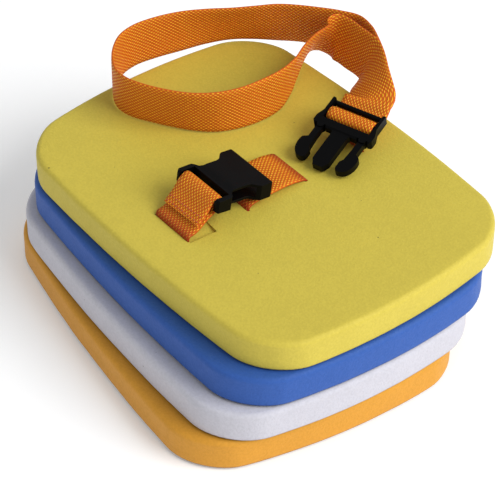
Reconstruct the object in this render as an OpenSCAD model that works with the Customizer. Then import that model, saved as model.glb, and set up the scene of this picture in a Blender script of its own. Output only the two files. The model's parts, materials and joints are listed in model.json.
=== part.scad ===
/* [Foam boards] */
// Overall length of a board, over its bulged short ends
board_len = 250; // [180:1:360]
// Overall width of a board, over its bulged long sides
board_wid = 188; // [140:1:280]
// Thickness of one board
board_thk = 20.5; // [14:0.5:40]
// Radius of a board's corners
corner_r = 28; // [15:1:45]
// How far a short end bulges beyond its corners
end_bulge = 11; // [0:0.5:20]
// How far a long side bulges beyond its corners
side_bulge = 6; // [0:0.5:15]
// Radius of the softened upper and lower edges
edge_r = 3; // [1:0.5:6]

/* [How the boards lie] */
// Yellow board, moved lengthwise from the bottom board
yellow_along = 1; // [-6:1:6]
// Yellow board, moved crosswise from the bottom board
yellow_across = 21; // [-25:1:25]
// Blue board, moved lengthwise from the bottom board
blue_along = 3; // [-6:1:6]
// Blue board, moved crosswise from the bottom board
blue_across = 14; // [-20:1:20]
// Blue board, turned from the top board
blue_turn = -3.5; // [-6:0.5:6]
// White board, moved lengthwise from the bottom board
white_along = 3; // [-6:1:6]
// White board, moved crosswise from the bottom board
white_across = 5; // [-10:1:10]
// White board, turned from the top board
white_turn = -5; // [-8:0.5:8]
// Orange bottom board, turned from the top board
orange_turn = -8.5; // [-10:0.5:10]

/* [Belt] */
// Width of the belt webbing
belt_wid = 30; // [25:1:38]
// Thickness of the belt webbing
belt_thk = 1.5; // [1:0.1:2]
// Distance between neighbouring slits
slit_pitch = 42; // [38:1:55]
// Room between the webbing and each wall of a slit
slit_room = 0.45; // [0.3:0.05:1]
// Middle of the row of slits, along the board
slit_x = 1.5; // [-10:0.5:10]
// Middle of the row of slits, across the board
slit_y = -1.5; // [-10:0.5:10]
// Height of the webbing where it bridges the top board
bridge_rise = 3.8; // [2.5:0.1:4.2]

/* [Socket] */
// Width of each post of the socket, beside the webbing
post_wid = 3.05; // [2.6:0.05:5]
// Length of the socket from its webbing bar to its mouth
socket_len = 36; // [30:0.5:45]
// Thickness of the socket
socket_thk = 10; // [9:0.5:12]
// Thickness of the socket's walls
socket_wall = 1.8; // [1.5:0.1:2.2]
// Radius of the webbing bar
bar_r = 2.2; // [1.8:0.1:2.4]
// Gap between the socket's mouth and the webbing that runs under it
mouth_gap = 0.38; // [0.3:0.02:4]
// Tilt of the socket, mouth down
socket_tilt = 9; // [6:0.5:12]

/* [Plug] */
// How far each shoulder of the plug stands out beyond its ladder
shoulder_out = 1.9; // [1:0.1:4]
// Length of the plug from its outer bar to the end of its tongue
plug_len = 47; // [42:0.5:56]
// Thickness of the plug's ladder frame
plug_thk = 6; // [5:0.5:7]
// Thickness of the prongs and of the tongue
prong_thk = 4.4; // [3.5:0.1:4.6]
// Width of the tongue
tongue_wid = 10.5; // [8:0.5:11]
// Gap between the tip of the tongue and the top board
tip_gap = 1.74; // [1:0.02:6]
// Tilt of the plug, prongs down
plug_tilt = 14; // [10:0.5:16]
// Direction the plug lies in
plug_turn = 18; // [10:1:26]
// Room between parts that move on each other
run_gap = 0.35; // [0.3:0.05:0.6]

/* [Hidden] */
layers = 4;
top_z = layers * board_thk;

// Shift and turn of each board, counted from the top one down
board_shift = [[yellow_along, yellow_across], [blue_along, blue_across],
               [white_along, white_across], [0, 0]];
board_turn = [0, blue_turn, white_turn, orange_turn];

// ---- lofts: a closed solid through rings that all have the same number of points ----

function flat(lists) = [for (list = lists) for (item = list) item];

module loft(rings) {
    n = len(rings[0]);
    last = len(rings) - 1;
    sides = flat([for (i = [0:last - 1]) flat([for (j = [0:n - 1])
        let (a = i * n + j, b = i * n + (j + 1) % n)
        [[a, a + n, b + n], [a, b + n, b]]])]);
    low_cap = [[for (j = [0:n - 1]) j]];
    high_cap = [[for (j = [n - 1:-1:0]) last * n + j]];
    polyhedron(points = flat(rings), faces = concat(low_cap, sides, high_cap), convexity = 10);
}

// ---- board outline: a rounded rectangle whose four sides bulge outwards ----

corner_steps = 9;
side_steps = 8;

function corner_arc(cx, cy, r, start) =
    [for (i = [0:corner_steps]) let (a = start + 90 * i / corner_steps)
        [cx + r * cos(a), cy + r * sin(a)]];

function side_points(p, q) =
    [for (i = [1:side_steps - 1]) p + (q - p) * i / side_steps];

function straight_outline(half_l, half_w, r) =
    let (x = half_l - r, y = half_w - r)
    concat(corner_arc(x, y, r, 0), side_points([x, half_w], [-x, half_w]),
           corner_arc(-x, y, r, 90), side_points([-half_l, y], [-half_l, -y]),
           corner_arc(-x, -y, r, 180), side_points([-x, -half_w], [x, -half_w]),
           corner_arc(x, -y, r, 270), side_points([half_l, -y], [half_l, y]));

function board_outline(inset) =
    let (half_l = board_len / 2 - end_bulge - inset, half_w = board_wid / 2 - side_bulge - inset)
    [for (p = straight_outline(half_l, half_w, corner_r - inset))
        let (u = p[0] / half_l, v = p[1] / half_w)
        [p[0] + end_bulge * u * (1 - v * v), p[1] + side_bulge * v * (1 - u * u)]];

// Heights and insets of the rings round a softened edge, from the face to the side
edge_steps = 3;
edge_rings = [for (i = [0:edge_steps]) let (a = 90 * i / edge_steps)
    [edge_r * (1 - cos(a)), edge_r * (1 - sin(a))]];

module board_blank() {
    low = [for (e = edge_rings) [for (p = board_outline(e[1])) [p[0], p[1], e[0]]]];
    high = [for (i = [edge_steps:-1:0]) let (e = edge_rings[i])
        [for (p = board_outline(e[1])) [p[0], p[1], board_thk - e[0]]]];
    loft(concat(low, high));
}

// ---- webbing: a flat strip swept along points that each carry the strip's width direction ----

function unit(v) = v / norm(v);
function place(s) = [s[0], s[1], s[2]];
function across(s) = [s[3], s[4], s[5]];

function heading(path, i) =
    unit(place(path[min(i + 1, len(path) - 1)]) - place(path[max(i - 1, 0)]));

function strip_ring(path, i, wid, thk) =
    let (t = heading(path, i), n = unit(cross(t, across(path[i]))), w = cross(n, t),
         p = place(path[i]), a = w * wid / 2, b = n * thk / 2)
    [p + a + b, p - a + b, p - a - b, p + a - b];

module strip(path, wid = belt_wid, thk = belt_thk) {
    loft([for (i = [0:len(path) - 1]) strip_ring(path, i, wid, thk)]);
}

// Smooth curve through the chosen points, with one new point between each pair
function between(p, i) =
    let (a = p[max(i - 1, 0)], b = p[i], c = p[i + 1], d = p[min(i + 2, len(p) - 1)])
    (b + c) * 9 / 16 - (a + d) / 16;
function smooth(p) =
    concat(flat([for (i = [0:len(p) - 2]) [p[i], between(p, i)]]), [p[len(p) - 1]]);

// ---- belt route ----

// A slit's place: layer 0 is the top board, slits are numbered 0 to 3 across the board
function slit_place(layer, k) =
    let (x = slit_x, y = slit_y + (k - 1.5) * slit_pitch, a = board_turn[layer])
    [x * cos(a) - y * sin(a), x * sin(a) + y * cos(a)] + board_shift[layer];

function slit_stop(layer, k, z) =
    let (p = slit_place(layer, k), a = board_turn[layer])
    [p[0], p[1], z, cos(a), sin(a), 0];

// Distance from the middle of the webbing to the surface it lies on
lie_z = belt_thk / 2 + slit_room - 0.1;
turn_r = 2.6;
bottom = layers - 1;

// Down through the four boards, stopping short of the underside by the bend's radius
function column(k) =
    concat([slit_stop(0, k, top_z)],
           [for (i = [0:layers - 1]) slit_stop(i, k, top_z - (i + 0.5) * board_thk)],
           [slit_stop(bottom, k, lie_z + turn_r)]);

function reversed(p) = [for (i = [len(p) - 1:-1:0]) p[i]];

// Under the bottom board from slit k to the next, round a quarter bend at each end
function under_run(k) =
    let (p = slit_place(bottom, k), q = slit_place(bottom, k + 1), along = unit(q - p),
         a = board_turn[bottom])
    concat([for (t = [30:30:90]) bend_stop(p, along, t, a)],
           [for (t = [90:-30:30]) bend_stop(q, -along, t, a)]);

function bend_stop(p, along, t, a) =
    let (r = turn_r * (1 - cos(t)))
    [p[0] + along[0] * r, p[1] + along[1] * r, lie_z + turn_r * (1 - sin(t)), cos(a), sin(a), 0];

// Over the top board from the second slit to the third
bridge_len = slit_pitch;
bridge_start = slit_place(0, 1);
function bridge_stop(share, z) =
    [bridge_start[0], bridge_start[1] + share * bridge_len, top_z + z, 1, 0, 0];
bridge = [bridge_stop(0.015, 1.2), bridge_stop(0.06, 2.6), bridge_stop(0.2, bridge_rise - 0.3),
          bridge_stop(0.45, bridge_rise), bridge_stop(0.7, bridge_rise - 0.2),
          bridge_stop(0.92, 2.2), bridge_stop(0.985, 1)];

threaded_route = concat(column(0), under_run(0), reversed(column(1)), bridge,
                        column(2), under_run(2), reversed(column(3)));

slit_a = slit_place(0, 0);
slit_d = slit_place(0, 3);

// The room that the belt needs through the boards, open above the top board
module belt_passage() {
    lift = 4;
    start = [slit_a[0], slit_a[1], top_z + lift, 1, 0, 0];
    stop = [slit_d[0], slit_d[1], top_z + lift, 1, 0, 0];
    strip(concat([start], threaded_route, [stop]), belt_wid + 2 * slit_room,
          belt_thk + 2 * slit_room);
}

module board(layer) {
    difference() {
        translate([board_shift[layer][0], board_shift[layer][1], (bottom - layer) * board_thk])
            rotate([0, 0, board_turn[layer]]) board_blank();
        belt_passage();
    }
}

module foam_board_yellow() {
    color([0.93, 0.82, 0.25]) board(0);
}

module foam_board_blue() {
    color([0.12, 0.32, 0.72]) board(1);
}

module foam_board_white() {
    color([0.86, 0.86, 0.9]) board(2);
}

module foam_board_orange() {
    color([0.93, 0.6, 0.2]) board(3);
}

module belt_threaded_run() {
    color([0.9, 0.42, 0.05]) strip(threaded_route);
}

// ---- sewn end: up from the first slit, round the socket's bar and back down on itself ----

socket_rise = bridge_rise + belt_thk / 2 + mouth_gap + socket_thk / 2 * cos(socket_tilt)
    + socket_len * sin(socket_tilt);
bar_pos = [slit_a[0] - 1, slit_a[1] + 21.5, top_z + socket_rise];
layer_gap = 0.1;
wrap_r = bar_r + run_gap + belt_thk / 2;
leg_dir = unit([bar_pos[1] - slit_a[1], socket_rise]);
leg_out = [-leg_dir[1], leg_dir[0]];
hem_len = 9;

function leg_stop(x, p) = [x, p[0], p[1], 1, 0, 0];
function wrap_stop(a) =
    leg_stop(bar_pos[0], [bar_pos[1], bar_pos[2]] + wrap_r * (leg_dir * sin(a) - leg_out * cos(a)));

slit_a_yz = [slit_a[1], top_z];
hem_gap = 0.4;
hem_start = slit_a_yz + leg_dir * hem_len + leg_out * (belt_thk + layer_gap);
hem_slope = hem_gap / 8;
sewn_route = concat(
    [leg_stop(slit_a[0], slit_a_yz), leg_stop(slit_a[0], slit_a_yz + [0, 1.2]),
     leg_stop(slit_a[0], slit_a_yz + [0.9, 2.4]),
     leg_stop(slit_a[0], slit_a_yz + leg_dir * 5),
     leg_stop(slit_a[0] - 0.5, slit_a_yz + leg_dir * 16 - leg_out * 1.4)],
    [for (a = [0:22.5:180]) wrap_stop(a)],
    [leg_stop(slit_a[0] - 0.5,
              slit_a_yz + leg_dir * 17 + leg_out * (belt_thk + layer_gap + hem_gap)),
     leg_stop(slit_a[0] - 0.2, hem_start)]);

module belt_socket_end() {
    color([0.88, 0.4, 0.05]) strip(sewn_route);
}

// Two rows of short thread stitches through the doubled webbing
stitch_count = 10;
stitch_len = 1.8;
stitch_r = 0.35;
stitch_rows = 2;
stitch_row_gap = 3.2;
module belt_stitching() {
    spacing = (belt_wid - 4) / (stitch_count - 1);
    lean = atan2(leg_dir[1], leg_dir[0]);
    color([0.75, 0.3, 0.05])
        for (row = [0:stitch_rows - 1]) for (i = [0:stitch_count - 1]) {
            along = 2 + row * stitch_row_gap;
            p = hem_start + leg_dir * along
                + leg_out * (belt_thk / 2 + stitch_r + 0.03 + hem_slope * along);
            translate([slit_a[0] - 0.3 + (i - (stitch_count - 1) / 2) * spacing, p[0], p[1]])
                rotate([lean, 0, 0]) rotate([0, 90, 0])
                    cylinder(r = stitch_r, h = stitch_len, center = true, $fn = 16);
        }
}

// ---- free loop: x, y and height over the top board, then the width direction ----

// The loop's places count from a point that keeps its distance from the last slit
slit_d_spot = [1.5, 61.5];
loop_mid = [slit_d[0] - slit_d_spot[0], slit_d[1] - slit_d_spot[1], top_z];
// The heights are for webbing of this half width, and wider webbing stands higher on its edge
usual_half = 15;

loop_stops = [
    [1.5, 61.5, 0, 1, 0, 0],
    [1.5, 61.5, 1.6, 1, 0, 0],
    [1, 63.6, 3.8, 1, 0, 0],
    [-1, 71, 4.8, 1, 0.05, 0],
    [-4.2, 79, 5.4, 1, 0.15, 0.08],
    [-8, 87, 7.2, 0.92, 0.3, 0.3],
    [-15, 94, 10, 0.75, 0.35, 0.55],
    [-24.5, 103, 13.9, 0.45, 0.3, 0.84],
    [-35, 111, 15.9, 0.2, 0.15, 0.97],
    [-44, 116.5, 16, 0.05, 0.05, 1],
    [-54, 118.3, 16, 0, 0, 1],
    [-65, 113.5, 16, 0, -0.05, 1],
    [-76, 106, 16, 0, -0.1, 1],
    [-86, 98.5, 16, 0.05, -0.13, 1],
    [-96.5, 87.5, 16, 0.19, 0, 1],
    [-104, 77.5, 16, 0.29, 0, 1],
    [-111, 67, 16, 0.33, 0, 1],
    [-119, 52, 16, 0.2, 0, 1],
    [-124.5, 37.5, 16, 0.05, 0, 1],
    [-129, 21, 16, 0, 0, 1],
    [-130.5, 7, 16, 0, 0, 1],
    [-128, -4, 16, 0, 0, 1],
    [-121, -14, 16, 0, 0, 1],
    [-111.5, -22, 16, 0, 0, 1],
    [-101, -26, 16, 0, -0.05, 1],
    [-91, -25, 16, 0, -0.1, 1],
    [-81, -20.5, 16, 0.02, -0.14, 1],
    [-70, -14, 16, 0.04, -0.14, 1],
    [-57.5, -4.5, 16, 0.06, -0.1, 1],
    [-48.3, 7, 16, 0.05, -0.03, 1],
    [-43.6, 19, 16, 0.03, 0, 1],
    [-41.6, 34, 16, 0, 0, 1],
    [-42.5, 48, 16, 0.04, 0, 1],
    [-47.8, 61.5, 16, 0.16, 0, 1],
    [-55, 73, 16, 0.24, 0, 0.97],
    [-61.5, 84, 16, 0.37, 0, 0.93],
    [-65.8, 93.5, 16, 0.46, 0.08, 0.88],
    [-67.3, 101, 16, 0.42, 0.25, 0.87],
    [-64, 106, 16, 0.25, 0.32, 0.91],
    [-57, 108, 16, 0.12, 0.3, 0.95],
    [-48, 108, 16, 0.1, 0.28, 0.95],
    [-38, 107.8, 16.3, 0.12, 0.26, 0.96],
    [-30.5, 105.9, 17, 0.26, 0.27, 0.93],
    [-25.5, 102, 17.3, 0.4, 0.32, 0.86],
    [-15.5, 93, 16.8, 0.66, 0.39, 0.63],
    [-6, 85.8, 15.8, 0.84, 0.4, 0.35],
    [-1.8, 83.2, 15.4, 0.92, 0.38, 0.15]];

function over_top(s) =
    concat(place(s) + loop_mid + [0, 0, (belt_wid / 2 - usual_half) * unit(across(s))[2]],
           across(s));

// The last stops of the loop lie on the plug's own line
plug_rise = (plug_len - 1) * sin(plug_tilt) + prong_thk / 2 * cos(plug_tilt) + tip_gap;
plug_pos = loop_mid + [1, 71, plug_rise];
function on_plug(x, y, z) =
    let (yy = y * cos(plug_tilt) - z * sin(plug_tilt), zz = y * sin(plug_tilt) + z * cos(plug_tilt))
    plug_pos + [x * cos(plug_turn) - yy * sin(plug_turn), x * sin(plug_turn) + yy * cos(plug_turn),
                zz];
function plug_stop(y, z) =
    let (p = on_plug(0, y, z)) [p[0], p[1], p[2], cos(plug_turn), sin(plug_turn), 0];

bar_half = plug_thk / 2 - 1.2;
under_bar = -(bar_half + run_gap + belt_thk / 2);
seam_y = 3.4;

// Straight up out of the slit first, then free
loop_route = concat([over_top(loop_stops[0])],
                    smooth([for (i = [1:len(loop_stops) - 1]) over_top(loop_stops[i])]),
                    [plug_stop(8.5, under_bar + 1.2), plug_stop(seam_y + 2.5, under_bar + 0.2),
                     plug_stop(seam_y + 0.6, under_bar)]);

module belt_loop() {
    color([0.92, 0.45, 0.05]) strip(loop_route);
}

// ---- plug: outer bar at the local origin, prongs towards -y ----

outer_bar_w = 2.6;
mid_bar_y = -7.8;
mid_bar_w = 2.6;
window_end = -14;
frame_end = -20;
side_wall = 2;
window_half = belt_wid / 2 + 0.6;
frame_half = window_half + side_wall;
plug_wid = 2 * (frame_half + shoulder_out);
prong_x = plug_wid / 2 - 5.5;
prong_w = 4;
pivot_y = frame_end + 1.2;

// Over the ladder's middle bar and back underneath, ending in a short tail
over_mid = bar_half + run_gap + belt_thk / 2;
tail_z = under_bar - belt_thk - 0.4;
wrap_route = [plug_stop(seam_y, under_bar), plug_stop(outer_bar_w / 2 - 0.3, under_bar),
              plug_stop(-1.6, under_bar + 0.6), plug_stop(-3.6, 0), plug_stop(-5, over_mid - 0.7),
              plug_stop(-6.6, over_mid), plug_stop(-9, over_mid), plug_stop(-10.6, over_mid - 0.7),
              plug_stop(-11.7, 0.2), plug_stop(-11.9, -2), plug_stop(-11, tail_z + 1),
              plug_stop(-9.4, tail_z), plug_stop(-4, tail_z), plug_stop(2.4, tail_z)];

module belt_plug_end() {
    color([0.9, 0.42, 0.05]) strip(wrap_route);
}

module on_plug_frame() {
    translate(plug_pos) rotate([0, 0, plug_turn]) rotate([plug_tilt, 0, 0]) children();
}

// Outline of the ladder frame: narrow at the outer bar, widest at the shoulders
module frame_outline() {
    h = frame_half;
    s = plug_wid / 2;
    polygon([[-h, 1.6], [-h + 1.6, 1.6], [-h + 1.6, outer_bar_w / 2], [h - 1.6, outer_bar_w / 2],
             [h - 1.6, 1.6], [h, 1.6], [h, -9], [s, -14], [s, -18], [s - 1.5, frame_end],
             [-s + 1.5, frame_end], [-s, -18], [-s, -14], [-h, -9]]);
}

tongue_half = tongue_wid / 2;
module tongue() {
    tip = 1 - plug_len;
    linear_extrude(height = prong_thk, center = true)
        polygon([[-tongue_half - 1.2, frame_end + 1], [-tongue_half, frame_end - 1.5],
                 [-tongue_half, tip + 4], [-tongue_half + 2.2, tip], [tongue_half - 2.2, tip],
                 [tongue_half, tip + 4], [tongue_half, frame_end - 1.5],
                 [tongue_half + 1.2, frame_end + 1]]);
}

// A raised bar with rounded back, across the frame
module cross_bar(y, w, h) {
    translate([0, y, 0]) cube([2 * window_half + 1, w, 2 * h - w], center = true);
    for (z = [h - w / 2, w / 2 - h])
        translate([0, y, z]) rotate([0, 90, 0])
            cylinder(d = w, h = 2 * window_half + 1, center = true, $fn = 32);
}

module buckle_plug() {
    color([0.04, 0.04, 0.05]) on_plug_frame() {
        difference() {
            linear_extrude(height = plug_thk, center = true) frame_outline();
            // The ladder's opening, and lower steps where the bars stand
            translate([-window_half, window_end, -plug_thk])
                cube([2 * window_half, -window_end + 10, 2 * plug_thk]);
            // Chamfers under and over the front edge
            for (side = [-1, 1])
                translate([0, frame_end, side * plug_thk / 2]) rotate([45, 0, 0])
                    cube([plug_wid + 2, 1.6, 1.6], center = true);
            // Seats of the two prongs
            for (side = [-1, 1]) translate([side * prong_x, pivot_y, 0]) {
                cylinder(r = prong_w / 2 + run_gap, h = plug_thk + 1, center = true, $fn = 48);
                translate([0, -5, 0])
                    cube([prong_w + 2 * run_gap + 2.2, 10, plug_thk + 1], center = true);
            }
        }
        cross_bar(0, outer_bar_w, bar_half);
        cross_bar(mid_bar_y, mid_bar_w, bar_half);
        tongue();
    }
}

// A prong: round root, slim stem, then a barb that curves in to the tip
tip_y = -plug_len + 2.5;
function prong_curve(cx, cy, rx, ry, from, to, steps) =
    [for (i = [0:steps]) let (a = from + (to - from) * i / steps) [cx + rx * cos(a), cy + ry * sin(a)]];

module prong() {
    half = prong_w / 2;
    barb_y = pivot_y - 11;
    barb = plug_wid / 2 - prong_x;
    reach = pivot_y - 0.5;
    linear_extrude(height = prong_thk, center = true) {
        translate([0, pivot_y]) circle(r = half, $fn = 48);
        polygon(concat(
            [[-half, reach], [-half, barb_y + 2], [-half - 0.6, barb_y - 6],
             [-half - 2, barb_y - 8], [-half - 2, tip_y + 2.5]],
            prong_curve(-1.4, tip_y + 1.8, 2.4, 1.8, 190, 280, 4),
            prong_curve(-1, barb_y - 5.2, barb + 1, barb_y - 5.2 - tip_y, 282, 380, 8),
            [[barb - 0.8, barb_y - 1.2], [half, barb_y + 0.4], [half, reach]]));
    }
}

module prong_left() {
    color([0.05, 0.05, 0.06]) on_plug_frame() mirror([1, 0, 0]) translate([prong_x, 0, 0]) prong();
}

module prong_right() {
    color([0.05, 0.05, 0.06]) on_plug_frame() translate([prong_x, 0, 0]) prong();
}

// ---- socket: webbing bar at the local origin, mouth towards +y ----

post_end = -4;
slot_half = belt_wid / 2 + 0.7;
socket_wid = 2 * (slot_half + post_wid);
waist_half = socket_wid / 2 - 5;
body_start = 6.4;
cavity_w = socket_wid - 2 * socket_wall;
cavity_h = socket_thk - 2 * socket_wall;
cavity_start = 9;

module socket_outline() {
    h = socket_wid / 2;
    m = socket_len;
    right = [[h - 1.2, post_end], [h, post_end + 1.5], [h, 6.2], [h - 1.4, 7.6], [waist_half + 1, 9],
             [waist_half, 11], [waist_half, m - 15], [waist_half + 0.8, m - 13], [h - 1, m - 10],
             [h, m - 8.5], [h, m - 1.4], [h - 1, m]];
    polygon(concat(right, [for (i = [len(right) - 1:-1:0]) [-right[i][0], right[i][1]]]));
}

// Side view of the socket: thinner at the bar, chamfered at the mouth
module socket_side() {
    t = socket_thk / 2;
    upper = [[post_end, t - 2], [post_end + 1.5, t - 1], [8, t - 0.6], [14, t], [socket_len - 1.2, t],
             [socket_len, t - 0.8]];
    polygon(concat(upper, [for (i = [len(upper) - 1:-1:0]) [upper[i][0], -upper[i][1]]]));
}

module buckle_socket() {
    color([0.04, 0.04, 0.05])
        translate(bar_pos) rotate([-socket_tilt, 0, 0]) {
            difference() {
                intersection() {
                    linear_extrude(height = socket_thk + 1, center = true) socket_outline();
                    rotate([90, 0, 90])
                        linear_extrude(height = socket_wid + 2, center = true) socket_side();
                }
                // Room for the webbing round the bar
                translate([-slot_half, post_end - 1, -socket_thk])
                    cube([2 * slot_half, body_start - post_end + 1, 2 * socket_thk]);
                // The cavity that takes the prongs and the tongue
                translate([-cavity_w / 2, cavity_start, -cavity_h / 2])
                    cube([cavity_w, socket_len, cavity_h]);
                // The lead-in at the mouth
                translate([0, socket_len, 0]) rotate([45, 0, 0])
                    cube([cavity_w, cavity_h * 0.85, cavity_h * 0.85], center = true);
            }
            rotate([0, 90, 0])
                cylinder(r = bar_r, h = 2 * slot_half + 1, center = true, $fn = 48);
        }
}

foam_board_orange();
foam_board_white();
foam_board_blue();
foam_board_yellow();
belt_threaded_run();
belt_socket_end();
belt_loop();
belt_plug_end();
belt_stitching();
buckle_socket();
buckle_plug();
prong_left();
prong_right();
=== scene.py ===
"""Foam back float: four foam boards threaded on a webbing belt with a side-release buckle."""

import json
import math

import bmesh
import bpy
from bpy.props import FloatProperty, FloatVectorProperty, IntProperty, PointerProperty
from mathutils import Matrix, Vector, noise


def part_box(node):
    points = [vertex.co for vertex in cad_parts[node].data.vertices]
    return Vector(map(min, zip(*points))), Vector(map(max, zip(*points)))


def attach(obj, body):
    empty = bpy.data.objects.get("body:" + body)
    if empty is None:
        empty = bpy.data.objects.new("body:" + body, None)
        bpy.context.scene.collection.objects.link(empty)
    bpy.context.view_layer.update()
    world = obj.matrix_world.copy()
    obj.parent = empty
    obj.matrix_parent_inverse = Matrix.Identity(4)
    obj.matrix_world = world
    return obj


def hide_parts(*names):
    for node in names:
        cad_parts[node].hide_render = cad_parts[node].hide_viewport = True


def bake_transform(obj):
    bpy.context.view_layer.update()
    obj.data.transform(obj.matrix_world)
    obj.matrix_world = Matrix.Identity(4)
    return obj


bl_info = {
    "name": "Foam Back Float",
    "version": (1, 0, 0),
    "blender": (4, 5, 0),
    "location": "3D Viewport > Sidebar > Float",
    "description": "Builds a stack of foam boards on a webbing belt with a side-release buckle",
    "category": "Object",
}

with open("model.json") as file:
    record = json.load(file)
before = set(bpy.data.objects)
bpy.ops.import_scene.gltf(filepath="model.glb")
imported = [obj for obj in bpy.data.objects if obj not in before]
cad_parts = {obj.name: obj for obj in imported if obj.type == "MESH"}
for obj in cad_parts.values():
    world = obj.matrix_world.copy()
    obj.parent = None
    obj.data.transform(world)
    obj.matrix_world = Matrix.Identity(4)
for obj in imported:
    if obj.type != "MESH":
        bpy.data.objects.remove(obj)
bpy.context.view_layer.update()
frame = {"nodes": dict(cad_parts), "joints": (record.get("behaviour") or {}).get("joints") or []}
JOINTS = {j["name"]: j for j in frame["joints"]}
TOP_LOW, TOP_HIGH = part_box("foam_board_yellow")
TOP_SIZE = TOP_HIGH - TOP_LOW
TOP_MIDDLE = Vector(((TOP_LOW.x + TOP_HIGH.x) / 2, (TOP_LOW.y + TOP_HIGH.y) / 2, TOP_HIGH.z))
MM = 0.001
SHARP_ANGLE = math.radians(32)


# ---------------------------------------------------------------- sizes and colours


class BoardSizes(bpy.types.PropertyGroup):
    """Sizes of the foam boards and how they lie."""

    corner_radius: FloatProperty(
        name="Corner radius",
        description="Radius of a board's corners",
        default=0.028,
        min=0.005,
        unit="LENGTH",
    )
    end_bulge: FloatProperty(
        name="End bulge",
        description="How far a short end bulges beyond its corners",
        default=0.011,
        min=0.0,
        unit="LENGTH",
    )
    side_bulge: FloatProperty(
        name="Side bulge",
        description="How far a long side bulges beyond its corners",
        default=0.006,
        min=0.0,
        unit="LENGTH",
    )
    edge_radius: FloatProperty(
        name="Edge radius",
        description="Radius of the softened upper and lower edges",
        default=0.0032,
        min=0.0005,
        unit="LENGTH",
    )
    blue_turn: FloatProperty(
        name="Blue board's turn",
        description="Turn of the blue board from the yellow one",
        default=math.radians(-3.5),
        unit="ROTATION",
    )
    white_turn: FloatProperty(
        name="White board's turn",
        description="Turn of the white board from the yellow one",
        default=math.radians(-5),
        unit="ROTATION",
    )
    orange_turn: FloatProperty(
        name="Orange board's turn",
        description="Turn of the orange board from the yellow one",
        default=math.radians(-8.5),
        unit="ROTATION",
    )
    grid: FloatProperty(
        name="Surface grid",
        description="Distance between the points that carry the foam's unevenness",
        default=0.006,
        min=0.003,
        unit="LENGTH",
    )
    unevenness: FloatProperty(
        name="Unevenness",
        description="How far the cut sides of the foam wander in and out",
        default=0.00035,
        min=0.0,
        unit="LENGTH",
    )


class BeltSizes(bpy.types.PropertyGroup):
    """Sizes of the webbing and of the slits it runs through."""

    width: FloatProperty(
        name="Width",
        description="Width of the webbing",
        default=0.030,
        min=0.01,
        unit="LENGTH",
    )
    thickness: FloatProperty(
        name="Thickness",
        description="Thickness of the webbing",
        default=0.0015,
        min=0.0005,
        unit="LENGTH",
    )
    slit_pitch: FloatProperty(
        name="Slit pitch",
        description="Distance between neighbouring slits",
        default=0.042,
        min=0.02,
        unit="LENGTH",
    )
    slit_room: FloatProperty(
        name="Slit room",
        description="Room between the webbing and each wall of a slit",
        default=0.00045,
        min=0.0001,
        unit="LENGTH",
    )
    ring_step: FloatProperty(
        name="Ring step",
        description="Distance between the sections that the webbing is swept through",
        default=0.0014,
        min=0.0005,
        unit="LENGTH",
    )
    stitches: IntProperty(
        name="Stitches",
        description="Number of stitches in each row across the hem",
        default=11,
        min=2,
    )


class BuckleSizes(bpy.types.PropertyGroup):
    """Sizes of the buckle's finish."""

    rounding: FloatProperty(
        name="Rounding",
        description="Radius of the moulded edges",
        default=0.0005,
        min=0.0001,
        unit="LENGTH",
    )


COLOUR = {"subtype": "COLOR", "size": 3, "min": 0.0, "max": 1.0}


class Finishes(bpy.types.PropertyGroup):
    """Colours of the foam, the webbing, the thread and the buckle."""

    yellow: FloatVectorProperty(
        name="Yellow foam",
        description="Colour of the top board",
        default=(0.56, 0.45, 0.055),
        **COLOUR,
    )
    blue: FloatVectorProperty(
        name="Blue foam",
        description="Colour of the second board",
        default=(0.022, 0.088, 0.35),
        **COLOUR,
    )
    white: FloatVectorProperty(
        name="White foam",
        description="Colour of the third board",
        default=(0.52, 0.51, 0.56),
        **COLOUR,
    )
    orange: FloatVectorProperty(
        name="Orange foam",
        description="Colour of the bottom board",
        default=(0.62, 0.28, 0.022),
        **COLOUR,
    )
    webbing: FloatVectorProperty(
        name="Webbing",
        description="Colour of the webbing's yarn where it lies on top",
        default=(1.0, 0.46, 0.014),
        **COLOUR,
    )
    # Painted shade: the webbing is painted darker and redder between its raised yarns, where the
    # weave lies in shade.
    webbing_gap_shade: FloatVectorProperty(
        name="Webbing between yarns",
        description="Colour of the webbing deep between its yarns",
        default=(0.58, 0.105, 0.002),
        **COLOUR,
    )
    thread: FloatVectorProperty(
        name="Thread",
        description="Colour of the sewing thread",
        default=(0.55, 0.09, 0.01),
        **COLOUR,
    )
    buckle: FloatVectorProperty(
        name="Buckle",
        description="Colour of the buckle's plastic",
        default=(0.002, 0.002, 0.0022),
        **COLOUR,
    )


class StageSizes(bpy.types.PropertyGroup):
    """Camera and lights."""

    azimuth: FloatProperty(
        name="Azimuth",
        description="Direction the camera looks from, round the float",
        default=math.radians(51.5),
        unit="ROTATION",
    )
    elevation: FloatProperty(
        name="Elevation",
        description="Height of the camera over the horizon",
        default=math.radians(41.4),
        unit="ROTATION",
    )
    distance: FloatProperty(
        name="Distance",
        description="Distance of the camera from the top board",
        default=1.316,
        unit="LENGTH",
    )
    lens: FloatProperty(
        name="Focal length",
        description="Focal length of the camera in millimetres on a 36 mm sensor",
        default=167.2,
    )
    key_power: FloatProperty(
        name="Key light",
        description="Power of the key light in watts",
        default=260.0,
    )
    sky_strength: FloatProperty(
        name="Sky",
        description="Strength of the even light from all round",
        default=0.52,
    )


# ---------------------------------------------------------------- shader nodes


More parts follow.
